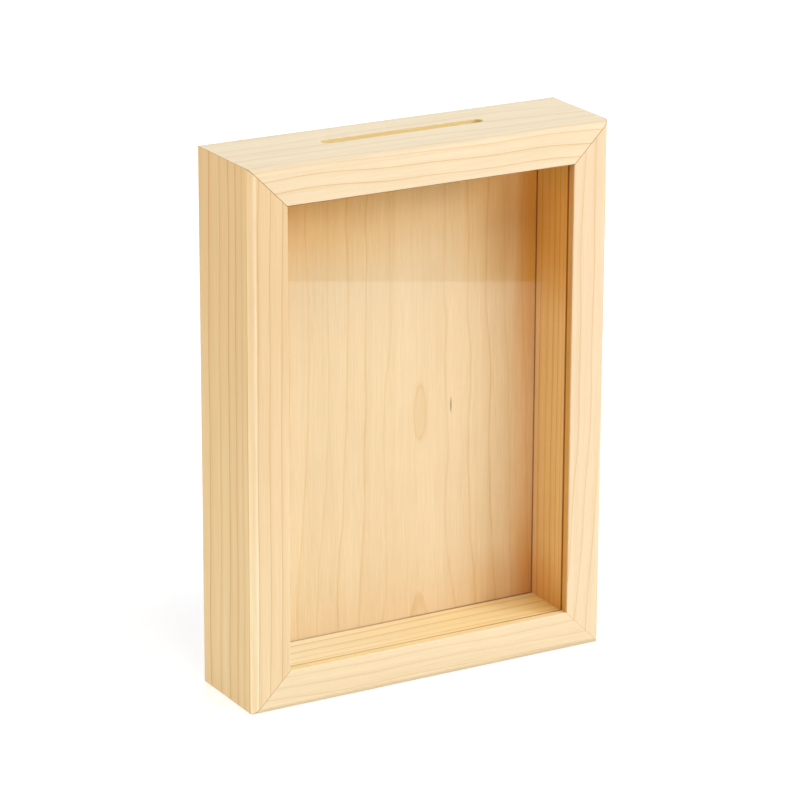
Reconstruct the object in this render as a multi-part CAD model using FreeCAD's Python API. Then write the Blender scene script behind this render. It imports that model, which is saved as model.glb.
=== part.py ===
import FreeCAD, Part
import math
import os

from FreeCAD import Vector

# A wooden money box made like a deep picture frame, in millimetres.
# +X is right, +Y is from the glass front to the back, +Z is up.
# The origin is the middle of the underside. Depths are measured from the front face.

# ---- Driving dimensions ----
WIDTH = 152.0
HEIGHT = 210.0
DEPTH = 41.0

# Moulding: the section of all four sticks
FACE_WIDTH = 15.4            # front face, from the outside to the glass opening
LIP_THICKNESS = 4.1          # front lip that the glass lies against
WALL_THICKNESS = 8.6         # outer wall, beside the rabbet
FRONT_ROUND = 3.0            # outer front edge
LIP_ROUND = 0.5              # edge of the glass opening
BACK_ROUND = 0.6             # outer back edge
INNER_BACK_ROUND = 0.3       # edge of the rabbet at the back

# Glass, liner strips and back panel, one behind the other in the rabbet
GLASS_THICKNESS = 2.0
GLASS_CLEARANCE = 0.75
LINER_DEPTH = 22.0
LINER_THICKNESS = 6.0
PANEL_THICKNESS = 4.0
PANEL_CLEARANCE = 0.6        # between its edges and the rabbet walls
PANEL_PLAY = 0.2             # between its face and the liner strips

# Money slot through the top rail and the top liner
SLOT_LENGTH = 68.5
SLOT_WIDTH = 5.0
SLOT_CENTRE_DEPTH = 23.5
SLOT_EDGE_ROUND = 0.35

# Groove round the rabbet walls for the tips of the turn buttons
GROOVE_WIDTH = 2.5
GROOVE_DEPTH = 3.0
GROOVE_AHEAD_OF_PANEL_BACK = 0.4

# V nails across the mitres
V_NAIL_LEG = 4.6
V_NAIL_THICKNESS = 0.5
V_NAIL_LENGTH = 10.0
V_NAIL_SUNK = 0.3
V_NAIL_HALF_ANGLE = 52.0
V_NAIL_APEX_FROM_CORNER = 4.4

# Turn buttons and their screws
BUTTON_THICKNESS = 1.0
BUTTON_GAP = 0.05            # play under and over the button
BUTTON_PIVOT_RADIUS = 4.5    # round end at the screw
BUTTON_TIP_RADIUS = 2.6      # narrower round end that locks
BUTTON_PIVOT_FROM_WALL = 9.0
BUTTON_BITE = 2.4            # how far a locked tip stands in the groove
BUTTON_TAB_WIDTH = 3.0       # finger tab turned up beside the screw
BUTTON_TAB_HEIGHT = 2.2
SCREW_RADIUS = 1.25
SCREW_BITE = 3.2
SCREW_HEAD_RADIUS = 2.6
SCREW_HEAD_HEIGHT = 1.6
SCREW_CROSS_LENGTH = 2.8
SCREW_CROSS_WIDTH = 0.6
SCREW_CROSS_DEPTH = 0.8
RUNNING_CLEARANCE = 0.08

# Triangle hanger on the back panel
HANGER_AXIS_Z = 166.0
RING_WIRE_RADIUS = 0.8
RING_HALF_WIDTH = 9.5
RING_DROP = 15.0
RING_CORNER_RADIUS = 2.2
STRAP_THICKNESS = 0.8
STRAP_WIDTH = 8.0
STRAP_LENGTH = 14.0
STRAP_CORNER_RADIUS = 2.0
HANGER_RIVET_DROP = 6.5
HANGER_RIVET_RADIUS = 1.2
HANGER_RIVET_BITE = 3.0
HANGER_RIVET_HEAD_RADIUS = 2.3
HANGER_RIVET_HEAD_HEIGHT = 1.0

# ---- Worked-out dimensions ----
FRONT_Y = -DEPTH / 2
BACK_Y = DEPTH / 2
GLASS_DEPTH = LIP_THICKNESS
LINER_START = GLASS_DEPTH + GLASS_THICKNESS
PANEL_START = LINER_START + LINER_DEPTH + PANEL_PLAY
PANEL_BACK = PANEL_START + PANEL_THICKNESS
PANEL_BACK_Y = FRONT_Y + PANEL_BACK
GROOVE_START = PANEL_BACK - GROOVE_AHEAD_OF_PANEL_BACK
LINER_INNER = WALL_THICKNESS + LINER_THICKNESS
BUTTON_REACH = BUTTON_PIVOT_FROM_WALL + BUTTON_BITE
BUTTON_Y = PANEL_BACK_Y + BUTTON_GAP
BUTTON_TOP_Y = BUTTON_Y + BUTTON_THICKNESS
LOOP_RADIUS = RING_WIRE_RADIUS + RUNNING_CLEARANCE
HANGER_AXIS_Y = PANEL_BACK_Y + LOOP_RADIUS + STRAP_THICKNESS

CENTRE = Vector(0, 0, HEIGHT / 2)
X_AXIS = Vector(1, 0, 0)
Y_AXIS = Vector(0, 1, 0)
Z_AXIS = Vector(0, 0, 1)


# ---- Helpers ----
def box(x0, x1, y0, y1, z0, z1):
    return Part.makeBox(x1 - x0, y1 - y0, z1 - z0, Vector(x0, y0, z0))


def cylinder_along_y(x, y0, y1, z, radius):
    return Part.makeCylinder(radius, y1 - y0, Vector(x, y0, z), Y_AXIS)


def rounded_outline(corners):
    """Closed wire through (point, radius) corners, each rounded by its radius."""
    edges = []
    starts = []
    ends = []
    count = len(corners)
    for i, (point, radius) in enumerate(corners):
        before = (corners[i - 1][0] - point).normalize()
        after = (corners[(i + 1) % count][0] - point).normalize()
        turn = before.getAngle(after)
        reach = radius / math.tan(turn / 2)
        start = point + before * reach
        end = point + after * reach
        starts.append(start)
        ends.append(end)
        if radius > 0:
            inward = (before + after).normalize()
            middle = point + inward * (radius / math.sin(turn / 2) - radius)
            edges.append(Part.Arc(start, middle, end).toShape())
    for i in range(count):
        edges.append(Part.LineSegment(ends[i], starts[(i + 1) % count]).toShape())
    return Part.Wire(Part.__sortEdges__(edges))


def prism(corners, direction):
    return Part.Face(rounded_outline(corners)).extrude(direction)


def save(name, shape):
    shape.exportStep(os.path.join("parts", name + ".step"))


def at_side(shape, reach, turn):
    """Moves a shape made with the stick's outer face on z = 0, so that the face lies
    at the given reach from the middle of the front, turned round the frame."""
    shape = shape.copy()
    shape.translate(Vector(0, 0, -reach))
    shape.rotate(Vector(0, 0, 0), Y_AXIS, turn)
    shape.translate(CENTRE)
    return shape


# Each side's stick length, distance from the middle to its outer face, and turn
SIDES = {
    "bottom": (WIDTH, HEIGHT / 2, 0),
    "left": (HEIGHT, WIDTH / 2, 90),
    "top": (WIDTH, HEIGHT / 2, 180),
    "right": (HEIGHT, WIDTH / 2, 270),
}
STICK_NAMES = {
    "bottom": "bottom_rail",
    "left": "left_stile",
    "top": "top_rail",
    "right": "right_stile",
}


# ---- Frame sticks ----
def moulding_section(x):
    """Section of a stick, its outer face on z = 0 and its front face at the front."""
    groove_floor = WALL_THICKNESS - GROOVE_DEPTH
    groove_end = GROOVE_START + GROOVE_WIDTH
    section = [
        (0, 0, FRONT_ROUND),
        (0, DEPTH, BACK_ROUND),
        (WALL_THICKNESS, DEPTH, INNER_BACK_ROUND),
        (WALL_THICKNESS, groove_end, 0),
        (groove_floor, groove_end, 0),
        (groove_floor, GROOVE_START, 0),
        (WALL_THICKNESS, GROOVE_START, 0),
        (WALL_THICKNESS, LIP_THICKNESS, 0),
        (FACE_WIDTH, LIP_THICKNESS, 0),
        (FACE_WIDTH, 0, LIP_ROUND),
    ]
    return [(Vector(x, FRONT_Y + depth, inward), r) for inward, depth, r in section]


def mitred_stick(length):
    stick = prism(moulding_section(-length / 2), X_AXIS * length)
    overlap = 1.0
    inner = FACE_WIDTH + overlap
    outline = [
        (-length / 2, 0),
        (length / 2, 0),
        (length / 2 - inner, inner),
        (-length / 2 + inner, inner),
    ]
    corners = [(Vector(x, FRONT_Y - overlap, z), 0) for x, z in outline]
    return stick.common(prism(corners, Y_AXIS * (DEPTH + 2 * overlap)))


def v_nail(side_x, side_z, sunk):
    """V nail across one mitre, its apex towards the outer corner."""
    half = math.radians(V_NAIL_HALF_ANGLE)
    along = V_NAIL_LEG * math.cos(half)
    across = V_NAIL_LEG * math.sin(half)
    inner_along = along + V_NAIL_THICKNESS * math.sin(half)
    inner_across = across - V_NAIL_THICKNESS * math.cos(half)
    outline = [
        (0, 0),
        (along, across),
        (inner_along, inner_across),
        (V_NAIL_THICKNESS / math.sin(half), 0),
        (inner_along, -inner_across),
        (along, -across),
    ]
    corners = []
    for u, v in outline:
        u = u + V_NAIL_APEX_FROM_CORNER
        inward_x = (u - v) / math.sqrt(2)
        inward_z = (u + v) / math.sqrt(2)
        x = side_x * (WIDTH / 2 - inward_x)
        z = HEIGHT / 2 + side_z * (HEIGHT / 2 - inward_z)
        corners.append((Vector(x, BACK_Y - sunk, z), 0))
    return prism(corners, Y_AXIS * (sunk - V_NAIL_SUNK - V_NAIL_LENGTH))


def v_nails(sunk):
    return [v_nail(x, z, sunk) for x in (-1, 1) for z in (-1, 1)]


def money_slot(z0, z1):
    """Long round-ended cutter for the money slot."""
    y = FRONT_Y + SLOT_CENTRE_DEPTH
    half_length = SLOT_LENGTH / 2
    radius = SLOT_WIDTH / 2
    middle = half_length - radius
    slot = box(-middle, middle, y - radius, y + radius, z0, z1)
    for x in (-middle, middle):
        slot = slot.fuse(Part.makeCylinder(radius, z1 - z0, Vector(x, y, z0), Z_AXIS))
    return slot.removeSplitter()


def ease_slot_edge(rail):
    """Rounds over the mouth of the slot in the top face."""
    y = FRONT_Y + SLOT_CENTRE_DEPTH
    mouth = []
    for edge in rail.Edges:
        b = edge.BoundBox
        flat_on_top = abs(b.ZMin - HEIGHT) < 1e-6 and abs(b.ZMax - HEIGHT) < 1e-6
        in_slot = abs(b.YMin - y) <= SLOT_WIDTH and abs(b.YMax - y) <= SLOT_WIDTH
        if flat_on_top and in_slot and b.XLength <= SLOT_LENGTH:
            mouth.append(edge)
    return rail.makeFillet(SLOT_EDGE_ROUND, mouth)


def frame_sticks():
    pockets = v_nails(sunk=0.0)
    slot = money_slot(HEIGHT - LINER_INNER, HEIGHT + 1)
    for side, (length, reach, turn) in SIDES.items():
        stick = at_side(mitred_stick(length), reach, turn).cut(pockets)
        if side == "top":
            stick = ease_slot_edge(stick.cut(slot))
        save(STICK_NAMES[side], stick)
    save("corner_v_nails", Part.makeCompound(v_nails(sunk=V_NAIL_SUNK)))


# ---- Glass, liner strips and back panel ----
def rabbet_plate(clearance, start, thickness):
    half_x = WIDTH / 2 - WALL_THICKNESS - clearance
    edge_z = WALL_THICKNESS + clearance
    y = FRONT_Y + start
    return box(-half_x, half_x, y, y + thickness, edge_z, HEIGHT - edge_z)


def liner_strips():
    y = FRONT_Y + LINER_START
    for side, (length, reach, turn) in SIDES.items():
        ends = WALL_THICKNESS if side in ("top", "bottom") else LINER_INNER
        half = length / 2 - ends
        strip = box(-half, half, y, y + LINER_DEPTH, WALL_THICKNESS, LINER_INNER)
        strip = at_side(strip, reach, turn)
        if side == "top":
            slot = money_slot(HEIGHT - LINER_INNER - 1, HEIGHT)
            strip = strip.cut(slot)
        save(side + "_liner", strip)


def back_panel():
    panel = rabbet_plate(PANEL_CLEARANCE, PANEL_START, PANEL_THICKNESS)
    rivet_end_y = PANEL_BACK_Y - HANGER_RIVET_BITE
    rivet_z = HANGER_AXIS_Z - HANGER_RIVET_DROP
    rivet_hole = cylinder_along_y(0, rivet_end_y, PANEL_BACK_Y, rivet_z, HANGER_RIVET_RADIUS)
    save("back_panel", panel.cut([rivet_hole] + [screw_hole(side) for side in SIDES]))


# ---- Turn buttons ----
def on_button_pivot(shape, side):
    """Moves a shape made round the Y axis to the pivot of one side's turn button."""
    shape = shape.copy()
    shape.translate(Vector(0, 0, WALL_THICKNESS + BUTTON_PIVOT_FROM_WALL))
    return at_side(shape, SIDES[side][1], SIDES[side][2])


def screw_hole(side):
    y0 = PANEL_BACK_Y - SCREW_BITE
    hole = cylinder_along_y(0, y0, PANEL_BACK_Y, 0, SCREW_RADIUS)
    return on_button_pivot(hole, side)


def turn_button(side):
    """Flat steel button in its open position, along the edge of the panel."""
    reach = BUTTON_REACH - BUTTON_TIP_RADIUS
    lean = math.acos((BUTTON_PIVOT_RADIUS - BUTTON_TIP_RADIUS) / reach)

    def rim(centre_x, radius, angle):
        x = centre_x + radius * math.cos(angle)
        return Vector(x, BUTTON_Y, radius * math.sin(angle))

    big_top = rim(0, BUTTON_PIVOT_RADIUS, lean)
    big_end = rim(0, BUTTON_PIVOT_RADIUS, math.pi)
    big_low = rim(0, BUTTON_PIVOT_RADIUS, -lean)
    tip_low = rim(reach, BUTTON_TIP_RADIUS, -lean)
    tip_end = rim(reach, BUTTON_TIP_RADIUS, 0)
    tip_top = rim(reach, BUTTON_TIP_RADIUS, lean)
    outline = Part.Wire(
        [
            Part.Arc(big_top, big_end, big_low).toShape(),
            Part.LineSegment(big_low, tip_low).toShape(),
            Part.Arc(tip_low, tip_end, tip_top).toShape(),
            Part.LineSegment(tip_top, big_top).toShape(),
        ]
    )
    plate = Part.Face(outline).extrude(Y_AXIS * BUTTON_THICKNESS)
    tab = box(
        -BUTTON_PIVOT_RADIUS,
        BUTTON_THICKNESS - BUTTON_PIVOT_RADIUS,
        BUTTON_Y,
        BUTTON_TOP_Y + BUTTON_TAB_HEIGHT,
        -BUTTON_TAB_WIDTH / 2,
        BUTTON_TAB_WIDTH / 2,
    )
    hole_radius = SCREW_RADIUS + RUNNING_CLEARANCE
    hole = cylinder_along_y(0, BUTTON_Y - 1, BUTTON_TOP_Y + 1, 0, hole_radius)
    return on_button_pivot(plate.fuse(tab).removeSplitter().cut(hole), side)


def button_screw(side):
    """Round-headed screw with a cross recess. The head leaves the button free."""
    head_y = BUTTON_TOP_Y + BUTTON_GAP
    top_y = head_y + SCREW_HEAD_HEIGHT
    shank = cylinder_along_y(0, PANEL_BACK_Y - SCREW_BITE, head_y, 0, SCREW_RADIUS)
    head = cylinder_along_y(0, head_y, top_y, 0, SCREW_HEAD_RADIUS)
    rim = [e for e in head.Edges if abs(e.BoundBox.YMin - top_y) < 1e-6]
    head = head.makeFillet(SCREW_HEAD_HEIGHT * 0.7, rim)
    cross_y = top_y - SCREW_CROSS_DEPTH
    half_length = SCREW_CROSS_LENGTH / 2
    half_width = SCREW_CROSS_WIDTH / 2
    cross = box(-half_length, half_length, cross_y, top_y, -half_width, half_width)
    cross = cross.fuse(
        box(-half_width, half_width, cross_y, top_y, -half_length, half_length)
    )
    return on_button_pivot(head.fuse(shank).cut(cross).removeSplitter(), side)


def turn_buttons():
    for side in SIDES:
        save("turn_button_" + side, turn_button(side))
    save("button_screws", Part.makeCompound([button_screw(side) for side in SIDES]))


# ---- Triangle hanger ----
def hanger_strap():
    """Strap lying on the panel, its top end rolled round the ring's straight side."""
    half = STRAP_WIDTH / 2
    top_y = PANEL_BACK_Y + STRAP_THICKNESS
    low_z = HANGER_AXIS_Z - STRAP_LENGTH
    outline = [
        (Vector(-half, PANEL_BACK_Y, low_z), STRAP_CORNER_RADIUS),
        (Vector(half, PANEL_BACK_Y, low_z), STRAP_CORNER_RADIUS),
        (Vector(half, PANEL_BACK_Y, HANGER_AXIS_Z), 0),
        (Vector(-half, PANEL_BACK_Y, HANGER_AXIS_Z), 0),
    ]
    strap = prism(outline, Y_AXIS * STRAP_THICKNESS)
    start = Vector(-half, HANGER_AXIS_Y, HANGER_AXIS_Z)
    outer_radius = LOOP_RADIUS + STRAP_THICKNESS
    strap = strap.fuse(Part.makeCylinder(outer_radius, STRAP_WIDTH, start, X_AXIS))
    strap = strap.cut(Part.makeCylinder(LOOP_RADIUS, STRAP_WIDTH, start, X_AXIS))
    rivet_z = HANGER_AXIS_Z - HANGER_RIVET_DROP
    hole = cylinder_along_y(0, PANEL_BACK_Y, top_y, rivet_z, HANGER_RIVET_RADIUS)
    return strap.cut(hole).removeSplitter()


def hanger_rivet():
    z = HANGER_AXIS_Z - HANGER_RIVET_DROP
    head_y = PANEL_BACK_Y + STRAP_THICKNESS
    top_y = head_y + HANGER_RIVET_HEAD_HEIGHT
    start_y = PANEL_BACK_Y - HANGER_RIVET_BITE
    shank = cylinder_along_y(0, start_y, head_y, z, HANGER_RIVET_RADIUS)
    head = cylinder_along_y(0, head_y, top_y, z, HANGER_RIVET_HEAD_RADIUS)
    rim = [e for e in head.Edges if abs(e.BoundBox.YMin - top_y) < 1e-6]
    head = head.makeFillet(HANGER_RIVET_HEAD_HEIGHT * 0.8, rim)
    return shank.fuse(head).removeSplitter()


def hanger_ring():
    """Triangle of round wire, hanging down from its straight side."""
    y = HANGER_AXIS_Y
    z = HANGER_AXIS_Z
    corners = [
        (Vector(-RING_HALF_WIDTH, y, z), RING_CORNER_RADIUS),
        (Vector(RING_HALF_WIDTH, y, z), RING_CORNER_RADIUS),
        (Vector(0, y, z - RING_DROP), RING_CORNER_RADIUS),
    ]
    middle = Vector(0, y, z)
    section = Part.Wire(Part.Circle(middle, X_AXIS, RING_WIRE_RADIUS).toShape())
    return rounded_outline(corners).makePipeShell([section], True, False)


os.makedirs("parts", exist_ok=True)
frame_sticks()
save("glass_pane", rabbet_plate(GLASS_CLEARANCE, GLASS_DEPTH, GLASS_THICKNESS))
liner_strips()
back_panel()
turn_buttons()
save("hanger_strap", hanger_strap())
save("hanger_rivet", hanger_rivet())
save("hanger_ring", hanger_ring())
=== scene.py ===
import math

import bpy
from mathutils import Matrix, Vector


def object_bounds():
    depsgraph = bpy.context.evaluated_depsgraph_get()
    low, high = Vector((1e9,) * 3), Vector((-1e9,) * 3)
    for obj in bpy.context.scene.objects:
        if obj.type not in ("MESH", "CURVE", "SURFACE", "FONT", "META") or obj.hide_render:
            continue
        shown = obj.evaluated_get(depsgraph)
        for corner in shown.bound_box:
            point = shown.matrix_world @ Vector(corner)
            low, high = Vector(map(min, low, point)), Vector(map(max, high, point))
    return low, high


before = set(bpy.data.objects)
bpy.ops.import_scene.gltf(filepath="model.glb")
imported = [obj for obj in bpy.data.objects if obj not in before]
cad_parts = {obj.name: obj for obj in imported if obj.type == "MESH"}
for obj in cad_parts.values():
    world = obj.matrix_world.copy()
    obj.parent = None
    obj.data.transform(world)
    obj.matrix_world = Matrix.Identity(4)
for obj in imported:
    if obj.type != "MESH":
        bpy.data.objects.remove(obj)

# The looks of the wooden money box: materials for its CAD nodes, a floor, lights and a camera.
# Lengths are in metres, except inside the wood and metal materials, which count in millimetres.
# A named fade is a tuple: start, end, value at the start and value at the end. Where the
# values are left out, it runs from 0 to 1.

CAD_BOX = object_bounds()
LOW, HIGH = CAD_BOX
WIDTH = HIGH.x - LOW.x
HEIGHT = HIGH.z - LOW.z
MIDDLE = Vector((0, 0, HEIGHT / 2))
MM = 1000.0

# ---- Camera ----
CAMERA_AZIMUTH = math.radians(-29.78)
CAMERA_ELEVATION = math.radians(18.28)
CAMERA_ROLL = math.radians(0.21)
CAMERA_DISTANCE = 1.502
CAMERA_RIGHT = -0.0020
CAMERA_UP = 0.0010
SENSOR = 36.0
LENS = 179.2
NEAREST_SEEN = 0.05
FARTHEST_SEEN = 50.0


def add_camera():
    sin_a, cos_a = math.sin(CAMERA_AZIMUTH), math.cos(CAMERA_AZIMUTH)
    sin_e, cos_e = math.sin(CAMERA_ELEVATION), math.cos(CAMERA_ELEVATION)
    forward = Vector((-sin_a * cos_e, cos_a * cos_e, -sin_e))
    right = Vector((cos_a, sin_a, 0))
    up = right.cross(forward)
    place = MIDDLE - forward * CAMERA_DISTANCE + right * CAMERA_RIGHT + up * CAMERA_UP
    turn = Matrix((right, up, -forward)).transposed().to_4x4()
    data = bpy.data.cameras.new("camera")
    data.sensor_width = SENSOR
    data.lens = LENS
    data.clip_start = NEAREST_SEEN
    data.clip_end = FARTHEST_SEEN
    camera = bpy.data.objects.new("camera", data)
    bpy.context.scene.collection.objects.link(camera)
    roll = Matrix.Rotation(CAMERA_ROLL, 4, "Z")
    camera.matrix_world = Matrix.Translation(place) @ turn @ roll
    bpy.context.scene.camera = camera


# ---- Node graphs ----
class Graph:
    """Builds one material's nodes, a call for each node."""

    def __init__(self, name):
        self.material = bpy.data.materials.new(name)
        self.material.use_nodes = True
        self.tree = self.material.node_tree
        self.tree.nodes.clear()

    def add(self, kind, inputs=None, **settings):
        node = self.tree.nodes.new("ShaderNode" + kind)
        for key, value in settings.items():
            setattr(node, key, value)
        for key, value in (inputs or {}).items():
            self.put(node.inputs[key], value)
        return node

    def put(self, socket, value):
        if isinstance(value, bpy.types.NodeSocket):
            self.tree.links.new(value, socket)
        else:
            socket.default_value = value

    def math(self, operation, *values):
        inputs = dict(enumerate(values))
        return self.add("Math", inputs, operation=operation).outputs[0]

    def vector(self, x, y, z):
        return self.add("CombineXYZ", {0: x, 1: y, 2: z}).outputs[0]

    def noise(self, vector, detail=2.0, roughness=0.5):
        """Smooth noise about 0, mostly between -0.25 and 0.25."""
        inputs = {"Vector": vector, "Scale": 1.0, "Detail": detail, "Roughness": roughness}
        value = self.add("TexNoise", inputs).outputs["Fac"]
        return self.math("SUBTRACT", value, 0.5)

    def fade(self, value, start, end, low=0.0, high=1.0):
        """Runs smoothly from low at start to high at end, and stays flat beyond them."""
        inputs = {"Value": value, 1: start, 2: end, 3: low, 4: high}
        node = self.add("MapRange", inputs, interpolation_type="SMOOTHSTEP")
        return node.outputs["Result"]

    def mix(self, factor, first, second, blend="MIX"):
        node = self.add("Mix", data_type="RGBA", blend_type=blend)
        for key, value in ((0, factor), (6, first), (7, second)):
            self.put(node.inputs[key], value)
        return node.outputs[2]

    def finish(self, shader):
        output = self.add("OutputMaterial")
        self.tree.links.new(shader, output.inputs["Surface"])
        return self.material


def rgb(red, green, blue):
    return (red, green, blue, 1.0)


def place_in_mm(graph):
    """The object's own X, Y and Z in millimetres."""
    place = graph.add("TexCoord").outputs["Object"]
    scaled = graph.add("VectorMath", {0: place, 1: (MM, MM, MM)}, operation="MULTIPLY")
    split = graph.add("SeparateXYZ", {0: scaled.outputs[0]})
    return split.outputs[0], split.outputs[1], split.outputs[2]


def stick_frame(graph, side):
    """Along the stick from its middle, inward from its outer face, and back from the front."""
    x, y, z = place_in_mm(graph)
    depth = graph.math("SUBTRACT", y, LOW.y * MM)
    from_middle = graph.math("SUBTRACT", z, MIDDLE.z * MM)
    if side == "bottom":
        return x, z, depth
    if side == "top":
        return x, graph.math("SUBTRACT", HEIGHT * MM, z), depth
    if side == "left":
        return from_middle, graph.math("SUBTRACT", x, LOW.x * MM), depth
    return from_middle, graph.math("SUBTRACT", HIGH.x * MM, x), depth


# ---- Wood ----
# A wood is the colour of its early wood and of its late wood. A tone multiplies a colour.
FRAME_WOOD = (rgb(0.665, 0.526, 0.303), rgb(0.550, 0.338, 0.118))
# The side and top strips are brighter and more orange than the bottom strip: partly the pine's
# own colour, partly painted shade and bounced light, as those strips stand in shade.
SHADED_LINER_WOOD = (rgb(0.870, 0.630, 0.290), rgb(0.640, 0.365, 0.082))
LIT_SILL_WOOD = (rgb(0.730, 0.550, 0.280), rgb(0.560, 0.340, 0.100))
PANEL_WOOD = (rgb(0.750, 0.530, 0.278), rgb(0.640, 0.355, 0.115))
# Painted shade in the narrow gaps where pieces meet: at the pane, at the lining's front and back,
# and round the panel.
PAINTED_GAP_SHADE = rgb(0.25, 0.07, 0.006)
GLUE_LINE = rgb(0.22, 0.13, 0.04)
PLAIN = rgb(1.0, 1.0, 1.0)
# Painted shade: the richer colour of wood in shade, lit by light bounced off more wood.
SHADE_TONE = rgb(0.84, 0.58, 0.19)
# Painted bounced light: redder wood high up on the panel.
PAINTED_HIGH_WARM_TONE = rgb(1.18, 1.04, 0.80)
# Painted shade: warmer wood on the walls inside the money slot.
PAINTED_SLOT_SHADE = rgb(1.0, 0.95, 0.57)
# Painted highlight on the left stick's rounded front edge.
PAINTED_ROUND_HIGHLIGHT = rgb(1.30, 1.46, 1.68)
# Painted shade: the top stick's top face is a little darker and cooler, as the light falls on it.
PAINTED_TOP_FACE_SHADE = rgb(0.945, 0.97, 1.04)
# Painted light and shade on each lip's face towards the opening: warm shade on the side lips, a
# dark shadow line at the top lip's inner edge, and slightly yellower light on the bottom lip.
LIP_LIGHT_AND_SHADE_TONES = {
    "left": rgb(1.0, 0.83, 0.42),
    "top": rgb(0.45, 0.25, 0.08),
    "right": rgb(1.0, 0.83, 0.42),
    "bottom": rgb(1.0, 0.98, 0.84),
}

# In millimetres, as the CAD model has them. Depths are counted from the front face.
FACE_WIDTH = 15.4
FRONT_ROUND = 3.0
LIP_THICKNESS = 4.1
LINER_FRONT = 6.1
LINER_BACK = 28.1
LINER_INNER = 14.6
SLOT_LENGTH = 68.5
SLOT_WIDTH = 5.0
SLOT_DEPTH_FROM_FRONT = 23.5
PANEL_HALF_WIDTH = 66.8
PANEL_HALF_HEIGHT = 95.8
PANEL_MIDDLE_Y = 9.8

# Growth rings. A ring is counted from 0 to 1, through its early wood and then its late wood.
SOFT_LATE_WOOD = (0.50, 0.93, 0.0, 0.25)
SHARP_LATE_WOOD = (0.87, 0.94, 0.0, 0.85)
RING_END = (0.96, 0.995, 1.0, 0.0)
WEAKEST_RING = 0.6

# How rings wander, lean and shift along a stick, in millimetres or per millimetre.
WANDER_ALONG = 0.012
WANDER_INWARD = 0.035
WANDER_BACK = 0.03
LEAN_LENGTH = 100.0
FACE_SHIFT_START = 0.3
TOP_FACE_RINGS = (0.2, 3.0, 0.55, 1.0)
STICK_HALF_SPAN = 90.0

# The sanded surface: roughness, gloss, relief and fibres.
EARLY_ROUGHNESS = 0.62
LATE_ROUGHNESS = 0.50
WOOD_SPECULAR = 0.06
FIBRE_HEIGHT = 3.0
RING_HEIGHT = 0.35
RELIEF_DISTANCE = 0.0004
STICK_RELIEF = 0.35
PANEL_RELIEF = 0.2
STICK_FIBRES = 0.22
PANEL_FIBRES = 0.42
STREAKS = 0.14
CLOUDS = 0.12
FIBRE_ROUGHNESS = 0.65
RED_POWER = 0.7
BLUE_POWER = 1.5

# Lines where two pieces meet, the edges of a stick, and where painted shade and light go, in
# millimetres.
MITRE_RAGGEDNESS = 0.10
MITRE_LINE = (0.06, 0.17, 1.0, 0.0)
MITRE_LOW_STRENGTH = (-40.0, 40.0, 0.6, 0.25)
MITRE_RISE = (80.0, 140.0)
MITRE_TOP_STRENGTH = 0.9
MITRE_INTO_DEPTH = (1.0, 4.0, 1.0, 0.5)
INNER_EDGE = (FACE_WIDTH - 0.25, FACE_WIDTH - 0.05)
TOP_INNER_EDGE = (FACE_WIDTH - 0.45, FACE_WIDTH - 0.25)
LIP_FACE = (0.3, 0.7)
TOP_FACE = (0.2, 2.5, 1.0, 0.0)
# Where the painted highlight goes on the rounded front edge.
ROUND_START = 0.15
ROUND_BACK = (FRONT_ROUND - 0.3, FRONT_ROUND + 0.1, 1.0, 0.0)
ROUND_INSIDE = (FRONT_ROUND, FRONT_ROUND + 0.3, 1.0, 0.0)
GLASS_LINE = (LIP_THICKNESS - 1.0, LIP_THICKNESS - 0.5)
GLASS_LINE_STRENGTH = 0.9
GLASS_LINE_BOTTOM_STRENGTH = (-20.0, 58.0, 0.4, 0.8)
SLOT_RIM = (0.25, 0.55)
SLOT_SIDES = (SLOT_WIDTH / 2 + 0.1, SLOT_WIDTH / 2 + 0.3, 1.0, 0.0)
SLOT_ENDS = (SLOT_LENGTH / 2 + 0.1, SLOT_LENGTH / 2 + 0.3, 1.0, 0.0)
LINER_FRONT_LINE = (LINER_FRONT + 0.15, LINER_FRONT + 0.8, 0.95, 0.0)
LINER_BACK_LINE = (LINER_BACK - 0.6, LINER_BACK - 0.1, 0.0, 0.8)
# Where painted shade makes the side strips richer towards their two ends.
LINER_TOP_SHADE = (125.0, 160.0, 0.0, 0.75)
LINER_BOTTOM_SHADE = (20.0, 40.0, 0.35, 0.0)

# The panel's figure, in millimetres from the box's middle and from its base.
PANEL_TOP = 195.0
FIGURE_X = 9.3
FIGURE_SPREAD_LENGTH = 112.0
FIGURE_BLUNTNESS = 12.0
FIGURE_SPACING = 7.9
FIGURE_START = -0.18
FIGURE_SEED = 5.0
FIGURE_WANDER = 9.0
FIGURE_WANDER_ACROSS = 0.03
FIGURE_WANDER_UP = 0.014
FIGURE_LINE = 0.38
FIGURE_FIBRE_SEED = 31.0
EYE = (10.7, 98.0, 4.5, 18.0)
EYE_PULL = -3.0
EYE_TONE = 0.22
STREAK = (24.1, 98.3, 0.5, 4.0)
STREAK_TONE = 0.75

# The panel's painted shade and light and its joints: across from the middle, and up from the
# base.
PANEL_RIGHT_EDGE = (47.0, 59.0)
PANEL_EDGE_ABOVE = (80.0, 155.0, 0.49, 0.92)
PANEL_EDGE_BELOW = (20.0, 60.0, 1.0, 0.49)
PANEL_TOWARDS_EDGE = (15.0, 50.0, 0.0, 0.36)
PANEL_TOP_END = (135.0, 155.0)
PANEL_BOTTOM_END = (22.0, 42.0, 0.8, 0.0)
# Where the painted redder light goes, high up on the panel.
HIGH_UP = (148.0, 178.0)
HIGH_UP_ACROSS = (-40.0, 30.0, 1.0, 0.6)
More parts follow.
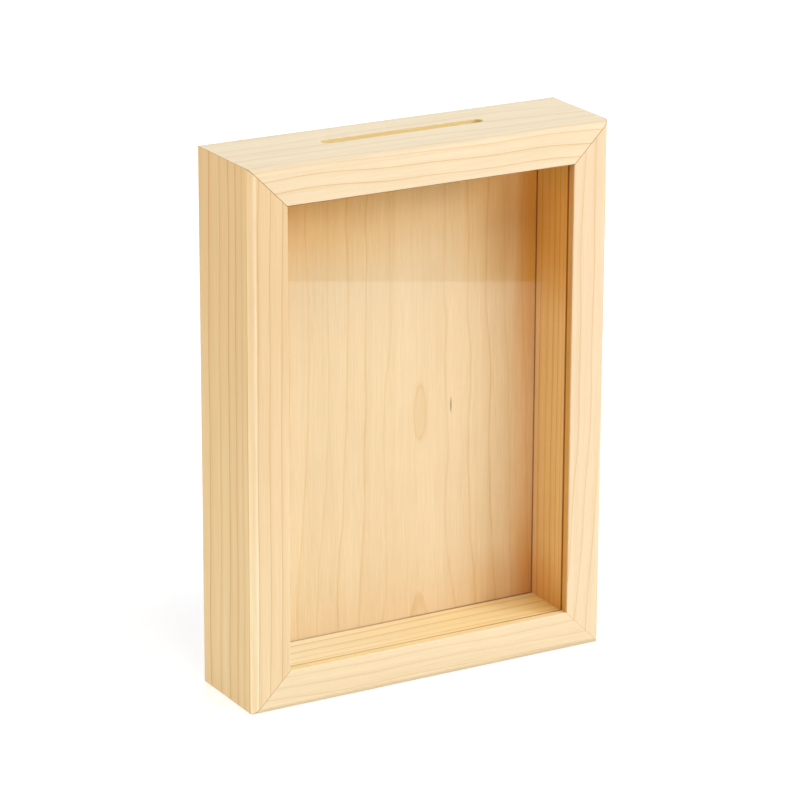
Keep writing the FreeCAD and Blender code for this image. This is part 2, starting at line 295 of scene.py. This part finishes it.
# Painted light on the panel: a paler band to the right of the middle, and the part left of it a
# little lighter low down and darker high up.
PAINTED_LIGHT_LEFT_OF_BAND = (30.0, 90.0, 1.04, 0.98)
PAINTED_LIGHT_BAND_ACROSS = (18.0, 45.0)
PAINTED_LIGHT_BAND = 1.15
PANEL_JOINT = (0.1, 0.45, 1.0, 0.0)
PANEL_JOINT_STRENGTH = (-40.0, 58.0, 0.25, 0.8)
PANEL_RIM = (0.05, 0.25, 1.0, 0.0)
PANEL_FRONT = (PANEL_MIDDLE_Y - 1.5, PANEL_MIDDLE_Y - 0.5, 1.0, 0.0)
PLY_CORE = (0.6, 0.8, 0.7, 0.0)


def ring_profile(graph, count):
    """0 in the pale early wood, rising to 1 at the thin dark edge of each growth ring."""
    part = graph.math("FRACT", count)
    soft = graph.fade(part, *SOFT_LATE_WOOD)
    sharp = graph.fade(part, *SHARP_LATE_WOOD)
    end = graph.fade(part, *RING_END)
    ring = graph.math("MULTIPLY", graph.math("ADD", soft, sharp), end)
    own = graph.add("TexWhiteNoise", {"W": graph.math("FLOOR", count)}, noise_dimensions="1D")
    strength = graph.fade(own.outputs["Value"], 0.0, 1.0, WEAKEST_RING, 1.0)
    return graph.math("MULTIPLY", ring, strength)


def growth_rings(graph, along, inward, depth, rings):
    """Ring lines lie closer together towards the front, where the tree grew more slowly."""
    wander = graph.noise(
        graph.vector(
            graph.math("MULTIPLY_ADD", along, WANDER_ALONG, rings["seed"]),
            graph.math("MULTIPLY", inward, WANDER_INWARD),
            graph.math("MULTIPLY", depth, WANDER_BACK),
        ),
        detail=1.0,
    )
    backward = graph.math("MULTIPLY_ADD", depth, 1 / rings["slow_depth"], 1.0)
    backward = graph.math("LOGARITHM", backward, math.e)
    count = graph.math("MULTIPLY_ADD", backward, rings["depth_rate"], rings["start"])
    count = graph.math("MULTIPLY_ADD", inward, -1 / rings["spacing"], count)
    count = graph.math("MULTIPLY_ADD", along, rings["lean"] / LEAN_LENGTH, count)
    squared = graph.math("MULTIPLY", along, along)
    count = graph.math("MULTIPLY_ADD", squared, rings["bow"] / LEAN_LENGTH**2, count)
    count = graph.math("MULTIPLY_ADD", wander, rings["wander"], count)
    shift = graph.fade(depth, FACE_SHIFT_START, FRONT_ROUND, rings["face_shift"], 0.0)
    count = graph.math("ADD", count, shift)
    return ring_profile(graph, count)


def wood_surface(graph, colour, ring, lightness, relief):
    """Bare sanded wood: matt, with a faint fibre relief and slightly smoother late wood."""
    rough = graph.fade(ring, 0.0, 1.0, EARLY_ROUGHNESS, LATE_ROUGHNESS)
    height = graph.math("MULTIPLY", ring, RING_HEIGHT)
    height = graph.math("MULTIPLY_ADD", lightness, FIBRE_HEIGHT, height)
    inputs = {"Strength": relief, "Distance": RELIEF_DISTANCE, "Height": height}
    bump = graph.add("Bump", inputs)
    inputs = {
        "Base Color": colour,
        "Roughness": rough,
        "Specular IOR Level": WOOD_SPECULAR,
        "Normal": bump.outputs[0],
    }
    return graph.add("BsdfPrincipled", inputs).outputs[0]


def fibres(graph, along, inward, depth, seed, fine):
    """Lightness about 1: fine fibres, streaks a few millimetres wide and broad clouds."""
    lightness = 1.0
    for across, run, share, detail in (
        (3.2, 0.07, fine, 4.0),
        (0.55, 0.010, STREAKS, 2.0),
        (0.11, 0.012, CLOUDS, 1.0),
    ):
        streak = graph.noise(
            graph.vector(
                graph.math("MULTIPLY_ADD", along, run, seed),
                graph.math("MULTIPLY", inward, across),
                graph.math("MULTIPLY", depth, across),
            ),
            detail=detail,
            roughness=FIBRE_ROUGHNESS,
        )
        lightness = graph.math("MULTIPLY_ADD", streak, share, lightness)
    return lightness


def tint(graph, colour, lightness):
    """Darker wood is also redder, and paler wood is whiter."""
    red = graph.math("POWER", lightness, RED_POWER)
    blue = graph.math("POWER", lightness, BLUE_POWER)
    shade = graph.vector(red, lightness, blue)
    return graph.mix(1.0, colour, shade, blend="MULTIPLY")


def mitre_line(graph, along, inward, depth, length, seed):
    """Strength of the glue line at a stick's two mitres: open at the top, tight at the bottom."""
    from_end = graph.math("SUBTRACT", length / 2, graph.math("ABSOLUTE", along))
    gap = graph.math("MULTIPLY", graph.math("SUBTRACT", from_end, inward), math.sqrt(0.5))
    ragged = graph.noise(graph.vector(inward, depth, seed), detail=1.0)
    gap = graph.math("MULTIPLY_ADD", ragged, MITRE_RAGGEDNESS, gap)
    line = graph.fade(gap, *MITRE_LINE)
    x, _, z = place_in_mm(graph)
    low_strength = graph.fade(x, *MITRE_LOW_STRENGTH)
    strength = graph.fade(z, *MITRE_RISE, low_strength, MITRE_TOP_STRENGTH)
    strength = graph.math("MULTIPLY", strength, graph.fade(depth, *MITRE_INTO_DEPTH))
    return graph.math("MULTIPLY", line, strength)


def lip_edge(graph, side, inward, depth):
    """1 on the lip's face towards the opening, where painted light and shade go; on the top
    stick, only the thin line at its inner edge.
    """
    if side == "top":
        return graph.fade(inward, *TOP_INNER_EDGE)
    inside = graph.fade(inward, *INNER_EDGE)
    behind = graph.fade(depth, *LIP_FACE)
    return graph.math("MULTIPLY", inside, behind)


def round_highlight_mask(graph, inward, depth):
    """1 on the rounding of a stick's outer front edge, where a highlight is painted."""
    behind = graph.fade(depth, 0.0, ROUND_START)
    ahead = graph.fade(depth, *ROUND_BACK)
    outer = graph.fade(inward, *ROUND_INSIDE)
    return graph.math("MULTIPLY", graph.math("MULTIPLY", behind, ahead), outer)


def glass_line(graph, side, along, inward, depth):
    """Painted shade in the gap between the lip and the pane, weak on the lit part of the bottom
    lip.
    """
    inside = graph.fade(inward, *INNER_EDGE)
    near = graph.fade(depth, *GLASS_LINE)
    strength = GLASS_LINE_STRENGTH
    if side == "bottom":
        strength = graph.fade(along, *GLASS_LINE_BOTTOM_STRENGTH)
    return graph.math("MULTIPLY", graph.math("MULTIPLY", inside, near), strength)


def slot_wall(graph, along, inward, depth):
    """1 inside the money slot, below its eased rim, where warmer shade is painted."""
    below = graph.fade(inward, *SLOT_RIM)
    across = graph.math("ABSOLUTE", graph.math("SUBTRACT", depth, SLOT_DEPTH_FROM_FRONT))
    beside = graph.fade(across, *SLOT_SIDES)
    lengthwise = graph.math("ABSOLUTE", along)
    within = graph.fade(lengthwise, *SLOT_ENDS)
    return graph.math("MULTIPLY", graph.math("MULTIPLY", below, beside), within)


def shaded(graph, colour, share, full_tone):
    """Paints a richer tone into the colour, as painted shade and bounced light: wood looks richer
    where light reaches it by way of more wood.
    """
    tone = graph.mix(share, PLAIN, full_tone)
    return graph.mix(1.0, colour, tone, blend="MULTIPLY")


def pine(name, side, rings, wood):
    """Colour, ring lines and fibres of one stick or strip."""
    graph = Graph(name)
    along, inward, depth = stick_frame(graph, side)
    ring = growth_rings(graph, along, inward, depth, rings)
    lightness = fibres(graph, along, inward, depth, rings["seed"], STICK_FIBRES)
    strength = graph.math("MULTIPLY", ring, rings["strength"])
    if side == "top":
        strength = graph.math("MULTIPLY", strength, graph.fade(inward, *TOP_FACE_RINGS))
    colour = graph.mix(strength, *wood)
    colour = tint(graph, colour, lightness)
    high = graph.fade(along, -STICK_HALF_SPAN, STICK_HALF_SPAN)
    tone = graph.mix(high, rings["low_tone"], rings["high_tone"])
    colour = graph.mix(1.0, colour, tone, blend="MULTIPLY")
    return graph, (along, inward, depth), ring, lightness, colour


def frame_pine(name, side, length):
    """One stick of the frame, with the painted light and shade of its edges, its top face and the
    slot, painted shade at the pane, and the glue lines of its mitres.
    """
    rings = STICK_RINGS[side]
    graph, place, ring, lightness, colour = pine(name, side, rings, FRAME_WOOD)
    along, inward, depth = place
    # Painted light and shade on the lip's face towards the opening.
    tone = graph.mix(lip_edge(graph, side, inward, depth), PLAIN, LIP_LIGHT_AND_SHADE_TONES[side])
    if side == "top":
        # Painted shade on the top face.
        tone = graph.mix(graph.fade(inward, *TOP_FACE), tone, PAINTED_TOP_FACE_SHADE)
        # Painted shade inside the money slot.
        tone = graph.mix(slot_wall(graph, along, inward, depth), tone, PAINTED_SLOT_SHADE)
    if side == "left":
        # Painted highlight on the rounded front edge.
        tone = graph.mix(round_highlight_mask(graph, inward, depth), tone, PAINTED_ROUND_HIGHLIGHT)
    colour = graph.mix(1.0, colour, tone, blend="MULTIPLY")
    # Painted shade in the gap between the lip and the pane.
    colour = graph.mix(glass_line(graph, side, along, inward, depth), colour, PAINTED_GAP_SHADE)
    line = mitre_line(graph, along, inward, depth, length, rings["seed"])
    colour = graph.mix(line, colour, GLUE_LINE)
    return graph.finish(wood_surface(graph, colour, ring, lightness, STICK_RELIEF))


def liner_pine(name, side):
    """One strip of the lining, with painted shade at the side strips' ends and in the dark lines
    where it meets the glass and the panel.
    """
    # The bottom strip, which stands in light, keeps a plainer colour; the shaded strips' colour
    # is partly painted shade.
    wood = LIT_SILL_WOOD if side == "bottom" else SHADED_LINER_WOOD
    graph, place, ring, lightness, colour = pine(name, side, LINER_RINGS[side], wood)
    depth = place[2]
    if side in ("left", "right"):
        # Painted shade: the side strips' colour goes richer towards their two ends.
        z = place_in_mm(graph)[2]
        above = graph.fade(z, *LINER_TOP_SHADE)
        below = graph.fade(z, *LINER_BOTTOM_SHADE)
        colour = shaded(graph, colour, graph.math("MAXIMUM", above, below), SHADE_TONE)
    # Painted shade in the gaps at the lining's front and back edges.
    front_line = graph.fade(depth, *LINER_FRONT_LINE)
    back_line = graph.fade(depth, *LINER_BACK_LINE)
    colour = graph.mix(graph.math("MAXIMUM", front_line, back_line), colour, PAINTED_GAP_SHADE)
    return graph.finish(wood_surface(graph, colour, ring, lightness, STICK_RELIEF))


def ring_set(seed, spacing, **changes):
    """Spacing is across the front face. Lean and bow are in rings, at 100 mm from the middle."""
    rings = {
        "seed": seed,
        "spacing": spacing,
        "depth_rate": 3.7,
        "slow_depth": 8.0,
        "face_shift": 0.0,
        "start": 0.0,
        "wander": 0.6,
        "lean": 0.0,
        "bow": 0.0,
        "strength": 0.9,
        "low_tone": PLAIN,
        "high_tone": PLAIN,
    }
    rings.update(changes)
    return rings


STICK_RINGS = {
    "left": ring_set(
        2.3, 4.9, depth_rate=6.0, slow_depth=20.0, start=0.03, face_shift=0.47, wander=0.5,
        lean=0.12, strength=1.0,
        low_tone=rgb(1.03, 0.97, 0.92), high_tone=rgb(0.93, 0.82, 0.72),
    ),
    "top": ring_set(
        7.1, 4.6, start=0.35, wander=1.6, lean=0.25, bow=0.15, depth_rate=3.0, strength=1.0,
        low_tone=rgb(0.98, 0.96, 1.0), high_tone=rgb(0.98, 0.96, 1.0),
    ),
    "right": ring_set(
        4.6, 5.2, start=0.2, wander=1.4, lean=-0.6, bow=0.35, strength=0.75,
        low_tone=rgb(1.04, 0.99, 0.99), high_tone=rgb(0.96, 0.88, 0.88),
    ),
    "bottom": ring_set(
        9.4, 4.9, start=0.6, wander=1.8, lean=-0.1, bow=-0.2, strength=0.6,
        low_tone=rgb(1.05, 1.04, 1.05), high_tone=rgb(1.05, 1.02, 1.02),
    ),
}
LINER_RINGS = {
    "left": ring_set(12.3, 6.0, wander=0.5, depth_rate=6.0),
    "top": ring_set(17.1, 6.0, wander=0.5, depth_rate=6.0),
    "right": ring_set(14.6, 6.0, wander=0.5, depth_rate=6.0),
    "bottom": ring_set(
        19.4, 6.0, wander=0.5, depth_rate=4.6,
        low_tone=rgb(1.03, 1.14, 1.50), high_tone=rgb(1.08, 1.02, 0.82),
    ),
}
STICK_NODES = {
    "left": "left_stile",
    "top": "top_rail",
    "right": "right_stile",
    "bottom": "bottom_rail",
}


def spot(graph, x, z, middle_x, middle_z, half_width, half_height):
    """1 at a point of the panel, fading to 0 at the edge of an upright oval round it."""
    across = graph.math("MULTIPLY", graph.math("SUBTRACT", x, middle_x), 1 / half_width)
    rise = graph.math("MULTIPLY", graph.math("SUBTRACT", z, middle_z), 1 / half_height)
    squares = graph.math("MULTIPLY_ADD", across, across, graph.math("MULTIPLY", rise, rise))
    return graph.fade(squares, 0.0, 1.0, 1.0, 0.0)


def flame_figure(graph, x, z):
    """The rings that a flat cut shows: upright lines at the sides, arches in the middle."""
    wander = graph.noise(
        graph.vector(
            graph.math("MULTIPLY", x, FIGURE_WANDER_ACROSS),
            FIGURE_SEED,
            graph.math("MULTIPLY", z, FIGURE_WANDER_UP),
        ),
        detail=2.0,
        roughness=0.45,
    )
    drop = graph.math("SUBTRACT", PANEL_TOP, z)
    across = graph.math("SUBTRACT", x, FIGURE_X)
    squares = graph.math("MULTIPLY_ADD", across, across, FIGURE_BLUNTNESS**2)
    spread = graph.math("POWER", graph.math("MULTIPLY", drop, 1 / FIGURE_SPREAD_LENGTH), 3.0)
    radius = graph.math("SUBTRACT", graph.math("SQRT", squares), spread)
    radius = graph.math("MULTIPLY_ADD", wander, FIGURE_WANDER, radius)
    eye = spot(graph, x, z, *EYE)
    radius = graph.math("MULTIPLY_ADD", eye, EYE_PULL, radius)
    return graph.math("MULTIPLY_ADD", radius, 1 / FIGURE_SPACING, FIGURE_START)


def from_edge(graph, x, z, half_width, half_height):
    """Distance inward from the nearest edge of an upright rectangle round the box's middle."""
    across = graph.math("SUBTRACT", half_width, graph.math("ABSOLUTE", x))
    rise = graph.math("SUBTRACT", z, HEIGHT * MM / 2)
    upright = graph.math("SUBTRACT", half_height, graph.math("ABSOLUTE", rise))
    return graph.math("MINIMUM", across, upright)


def panel_shade(graph, x, z):
    """Share of the rich shade tone: most along the right edge, and more at its two ends."""
    above = graph.fade(z, *PANEL_EDGE_ABOVE)
    below = graph.fade(z, *PANEL_EDGE_BELOW)
    edge = graph.fade(x, *PANEL_RIGHT_EDGE)
    edge = graph.math("MULTIPLY", edge, graph.math("MAXIMUM", above, below))
    top = graph.fade(z, *PANEL_TOP_END)
    bottom = graph.fade(z, *PANEL_BOTTOM_END)
    ends = graph.fade(x, *PANEL_TOWARDS_EDGE)
    ends = graph.math("MULTIPLY", ends, graph.math("MAXIMUM", top, bottom))
    return graph.math("MAXIMUM", edge, ends)


def panel_marks(graph, colour, x, z, front):
    """The eye and the dark streak in the veneer."""
    eye = graph.math("MULTIPLY", spot(graph, x, z, *EYE), front)
    colour = graph.mix(graph.math("MULTIPLY", eye, EYE_TONE), colour, PANEL_WOOD[1])
    streak = graph.math("MULTIPLY", spot(graph, x, z, *STREAK), front)
    return graph.mix(graph.math("MULTIPLY", streak, STREAK_TONE), colour, GLUE_LINE)


def panel_tones(graph, colour, x, z, front):
    """Painted shade at the right and the top, painted redder light high up, and painted light to
    the right of the middle.
    """
    shade = graph.math("MULTIPLY", panel_shade(graph, x, z), front)
    colour = shaded(graph, colour, shade, SHADE_TONE)
    painted_high_warmth = graph.math("MULTIPLY", graph.fade(z, *HIGH_UP), front)
    painted_high_warmth = graph.math("MULTIPLY", graph.fade(x, *HIGH_UP_ACROSS), painted_high_warmth)
    colour = shaded(graph, colour, painted_high_warmth, PAINTED_HIGH_WARM_TONE)
    light_left_of_band = graph.fade(z, *PAINTED_LIGHT_LEFT_OF_BAND)
    painted_light = graph.fade(x, *PAINTED_LIGHT_BAND_ACROSS, light_left_of_band, PAINTED_LIGHT_BAND)
    return graph.mix(front, colour, painted_light, blend="MULTIPLY")


def panel_joint(graph, colour, x, z, front):
    """The thin dark line of painted shade where the panel meets the lining."""
    half_width = WIDTH * MM / 2 - LINER_INNER
    half_height = HEIGHT * MM / 2 - LINER_INNER
    inside = graph.math("ABSOLUTE", from_edge(graph, x, z, half_width, half_height))
    strength = graph.fade(x, *PANEL_JOINT_STRENGTH)
    joint = graph.math("MULTIPLY", graph.fade(inside, *PANEL_JOINT), strength)
    joint = graph.math("MULTIPLY", joint, front)
    return graph.mix(joint, colour, PAINTED_GAP_SHADE)


def ply_core(graph, colour, x, y, z):
    """The darker middle ply, seen on the panel's four edges."""
    rim = from_edge(graph, x, z, PANEL_HALF_WIDTH, PANEL_HALF_HEIGHT)
    from_core = graph.math("ABSOLUTE", graph.math("SUBTRACT", y, PANEL_MIDDLE_Y))
    core = graph.fade(from_core, *PLY_CORE)
    core = graph.math("MULTIPLY", core, graph.fade(rim, *PANEL_RIM))
    return graph.mix(core, colour, PANEL_WOOD[1])


def veneer(name):
    """Pale plywood, flat cut with its grain upright. Its front face has marks, and painted shade
    and light.
    """
    graph = Graph(name)
    x, y, z = place_in_mm(graph)
    front = graph.fade(y, *PANEL_FRONT)
    line = ring_profile(graph, flame_figure(graph, x, z))
    lightness = fibres(graph, z, x, y, FIGURE_FIBRE_SEED, PANEL_FIBRES)
    colour = graph.mix(graph.math("MULTIPLY", line, FIGURE_LINE), *PANEL_WOOD)
    colour = tint(graph, colour, lightness)
    colour = panel_marks(graph, colour, x, z, front)
    colour = panel_tones(graph, colour, x, z, front)
    colour = panel_joint(graph, colour, x, z, front)
    colour = ply_core(graph, colour, x, y, z)
    return graph.finish(wood_surface(graph, colour, line, lightness, PANEL_RELIEF))


# ---- Glass and metal ----
GLASS_TINT = rgb(0.985, 0.995, 0.99)
GLASS_IOR = 1.45
GLASS_PASSING_TINT = rgb(0.96, 0.965, 0.96)
SCRATCH_ALONG = 0.6
SCRATCH_ACROSS = 9.0
SCRATCH_ROUGHNESS = 0.25
SCRATCH_RELIEF = 0.15
SCRATCH_DISTANCE = 0.0001
DULL_PATCHES = (-0.05, 0.2)
DULL_ROUGHNESS = 0.12

# A metal is its colour, the colour of its dull patches, and its roughness.
ZINC = (rgb(0.72, 0.73, 0.75), rgb(0.5, 0.52, 0.55), 0.28)
BRASS = (rgb(0.80, 0.62, 0.30), rgb(0.6, 0.45, 0.2), 0.25)
DARK_STEEL = (rgb(0.32, 0.32, 0.33), rgb(0.2, 0.2, 0.2), 0.4)


def clear_glass(name):
    """Float glass. Light on its way to the wood behind passes straight through."""
    graph = Graph(name)
    inputs = {"Color": GLASS_TINT, "Roughness": 0.0, "IOR": GLASS_IOR}
    glass = graph.add("BsdfGlass", inputs).outputs[0]
    clear = graph.add("BsdfTransparent", {"Color": GLASS_PASSING_TINT}).outputs[0]
    path = graph.add("LightPath")
    passing = graph.math(
        "MAXIMUM", path.outputs["Is Shadow Ray"], path.outputs["Is Diffuse Ray"]
    )
    mixed = graph.add("MixShader", {0: passing, 1: glass, 2: clear})
    return graph.finish(mixed.outputs[0])


def plated_metal(name, colour, dull, roughness):
    """Stamped and plated metal with fine scratches and a few dull patches."""
    graph = Graph(name)
    x, y, z = place_in_mm(graph)
    scratches = graph.noise(
        graph.vector(
            graph.math("MULTIPLY", x, SCRATCH_ALONG),
            y,
            graph.math("MULTIPLY", z, SCRATCH_ACROSS),
        ),
        detail=5.0,
        roughness=0.7,
    )
    patches = graph.noise(graph.vector(x, y, z), detail=3.0)
    share = graph.fade(patches, *DULL_PATCHES)
    tone = graph.mix(share, colour, dull)
    rough = graph.math("MULTIPLY_ADD", scratches, SCRATCH_ROUGHNESS, roughness)
    rough = graph.math("MULTIPLY_ADD", share, DULL_ROUGHNESS, rough)
    relief = {"Strength": SCRATCH_RELIEF, "Distance": SCRATCH_DISTANCE, "Height": scratches}
    bump = graph.add("Bump", relief)
    inputs = {
        "Base Color": tone,
        "Metallic": 1.0,
        "Roughness": rough,
        "Normal": bump.outputs[0],
    }
    return graph.finish(graph.add("BsdfPrincipled", inputs).outputs[0])


def paint(node, material):
    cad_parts[node].material_slots[0].material = material


def paint_nodes():
    for side, node in STICK_NODES.items():
        length = WIDTH if side in ("top", "bottom") else HEIGHT
        paint(node, frame_pine(node + "_pine", side, length * MM))
        paint(side + "_liner", liner_pine(side + "_liner_pine", side))
    paint("back_panel", veneer("panel_veneer"))
    paint("glass_pane", clear_glass("pane_glass"))
    zinc = plated_metal("zinc_plate", *ZINC)
    brass = plated_metal("brass_plate", *BRASS)
    dark = plated_metal("hardened_steel", *DARK_STEEL)
    for side in STICK_NODES:
        paint("turn_button_" + side, zinc)
    paint("button_screws", brass)
    paint("hanger_strap", zinc)
    paint("hanger_ring", zinc)
    paint("hanger_rivet", brass)
    paint("corner_v_nails", dark)


# ---- Floor, surroundings and lights ----
FLOOR_SIZE = 12.0
FLOOR_NEAR = 0.5
FLOOR_FAR = 1.5
FLOOR_GREY = rgb(0.45, 0.45, 0.45)
FLOOR_GLOW = rgb(1.0, 0.98, 0.96)
FLOOR_GLOW_STRENGTH = 0.6
FLOOR_FAR_GLOW = 0.6
FLOOR_ROUGHNESS = 0.9
SKY_IN_REFLECTIONS = 0.7

# The card's own Y points away from the box. Its lit part ends at Y 0, and the pane mirrors
# that edge.
CARD_PLACE = (0.2606, -0.4696, 0.001)
CARD_TURN = math.radians(209.05)
CARD_HALF = 1.5
CARD_NEAR = -0.70
CARD_FAR = 3.0
CARD_LIT = (-0.002, 0.002, 1.0, 0.0)
CARD_RIGHT_LEAN = 0.05
CARD_RIGHT_EDGE = (-0.066, -0.052)
CARD_GLOW = (-0.50, -0.20, 0.4, 0.78)

# Name, azimuth and elevation in degrees, distance, size, power and colour.
LIGHTS = (
    ("key", 45.0, 25.0, 1.6, 0.5, 19.5, (0.65, 0.74, 1.0)),
    ("soft_key", 45.0, 35.0, 1.6, 1.2, 16.2, (0.69, 0.78, 1.0)),
    ("front", 0.0, 60.0, 1.6, 0.8, 14.6, (0.95, 1.0, 0.88)),
    ("left_front", -60.0, 30.0, 1.6, 0.9, 5.5, (1.0, 0.45, 0.28)),
    ("left_back", -125.0, 25.0, 1.6, 1.2, 20.0, (0.88, 1.0, 0.99)),
    ("right_back", 150.0, 35.0, 1.8, 0.9, 16.3, (0.65, 0.76, 1.0)),
    ("back", 180.0, 15.0, 2.2, 2.0, 2.5, (0.94, 0.97, 1.0)),
)


def add_sheet(name, half_width, low, high):
    """A flat rectangle at height 0, as wide to the left as to the right."""
    mesh = bpy.data.meshes.new(name)
    near = [(-half_width, low, 0), (half_width, low, 0)]
    far = [(half_width, high, 0), (-half_width, high, 0)]
    mesh.from_pydata(near + far, [], [(0, 1, 2, 3)])
    sheet = bpy.data.objects.new(name, mesh)
    bpy.context.scene.collection.objects.link(sheet)
    return sheet


def add_floor():
    """A white floor. Its far part glows more to the camera, so that it runs into the sky."""
    half = FLOOR_SIZE / 2
    floor = add_sheet("floor", half, -half, half)
    graph = Graph("floor_white")
    place = graph.add("TexCoord").outputs["Object"]
    away = graph.add("VectorMath", {0: place}, operation="LENGTH").outputs["Value"]
    seen = graph.add("LightPath").outputs["Is Camera Ray"]
    far = graph.math("MULTIPLY", graph.fade(away, FLOOR_NEAR, FLOOR_FAR), seen)
    inputs = {
        "Base Color": FLOOR_GREY,
        "Roughness": FLOOR_ROUGHNESS,
        "Emission Color": FLOOR_GLOW,
        "Emission Strength": graph.math(
            "MULTIPLY_ADD", far, FLOOR_FAR_GLOW, FLOOR_GLOW_STRENGTH
        ),
    }
    shader = graph.add("BsdfPrincipled", inputs).outputs[0]
    floor.data.materials.append(graph.finish(shader))


def add_area_light(name, azimuth, elevation, distance, size, power, colour):
    """A square light that faces the middle of the box. Azimuth 0 is in front, 90 to the right."""
    turn, rise = math.radians(azimuth), math.radians(elevation)
    to_right = math.sin(turn) * math.cos(rise)
    to_back = -math.cos(turn) * math.cos(rise)
    away = Vector((to_right, to_back, math.sin(rise)))
    data = bpy.data.lights.new(name, "AREA")
    data.shape = "SQUARE"
    data.size = size
    data.energy = power
    data.color = colour
    light = bpy.data.objects.new(name, data)
    light.location = MIDDLE + away * distance
    light.rotation_euler = away.to_track_quat("Z", "Y").to_euler()
    light.visible_camera = False
    bpy.context.scene.collection.objects.link(light)


def add_world():
    """A sky that is white to the camera and through glass, and dimmer in reflections."""
    world = bpy.data.worlds.new("studio")
    world.use_nodes = True
    tree = world.node_tree
    background = tree.nodes["Background"]
    background.inputs["Color"].default_value = rgb(1.0, 1.0, 1.0)
    path = tree.nodes.new("ShaderNodeLightPath")
    seen = tree.nodes.new("ShaderNodeMath")
    seen.operation = "MULTIPLY_ADD"
    seen.inputs[1].default_value = SKY_IN_REFLECTIONS
    tree.links.new(path.outputs["Is Glossy Ray"], seen.inputs[0])
    tree.links.new(path.outputs["Is Camera Ray"], seen.inputs[2])
    through = tree.nodes.new("ShaderNodeMath")
    through.operation = "MULTIPLY_ADD"
    through.inputs[1].default_value = 1.0 - SKY_IN_REFLECTIONS
    tree.links.new(path.outputs["Is Transmission Ray"], through.inputs[0])
    tree.links.new(seen.outputs[0], through.inputs[2])
    tree.links.new(through.outputs[0], background.inputs["Strength"])
    bpy.context.scene.world = world


def add_card():
    """A card on the floor in front, seen only in reflections: the pane mirrors its edge."""
    card = add_sheet("card", CARD_HALF, CARD_NEAR, CARD_FAR)
    card.location = CARD_PLACE
    card.rotation_euler = (0.0, 0.0, CARD_TURN)
    graph = Graph("card_white")
    place = graph.add("TexCoord").outputs["Object"]
    split = graph.add("SeparateXYZ", {0: place})
    sideways, away = split.outputs[0], split.outputs[1]
    lit = graph.fade(away, *CARD_LIT)
    from_right = graph.math("MULTIPLY_ADD", away, CARD_RIGHT_LEAN, sideways)
    lit = graph.math("MULTIPLY", lit, graph.fade(from_right, *CARD_RIGHT_EDGE))
    strength = graph.fade(away, *CARD_GLOW)
    strength = graph.math("MULTIPLY", strength, lit)
    glow = graph.add("Emission", {"Strength": strength}).outputs[0]
    unseen = graph.add("BsdfTransparent").outputs[0]
    mirrored = graph.math("MINIMUM", graph.add("LightPath").outputs["Glossy Depth"], 1.0)
    shader = graph.add("MixShader", {0: mirrored, 1: unseen, 2: glow}).outputs[0]
    card.data.materials.append(graph.finish(shader))
    card.visible_camera = False
    card.visible_diffuse = False
    card.visible_shadow = False


def add_lights():
    for light in LIGHTS:
        add_area_light(*light)


paint_nodes()
add_floor()
add_card()
add_world()
add_lights()
add_camera()
bpy.context.scene.view_settings.view_transform = "Standard"
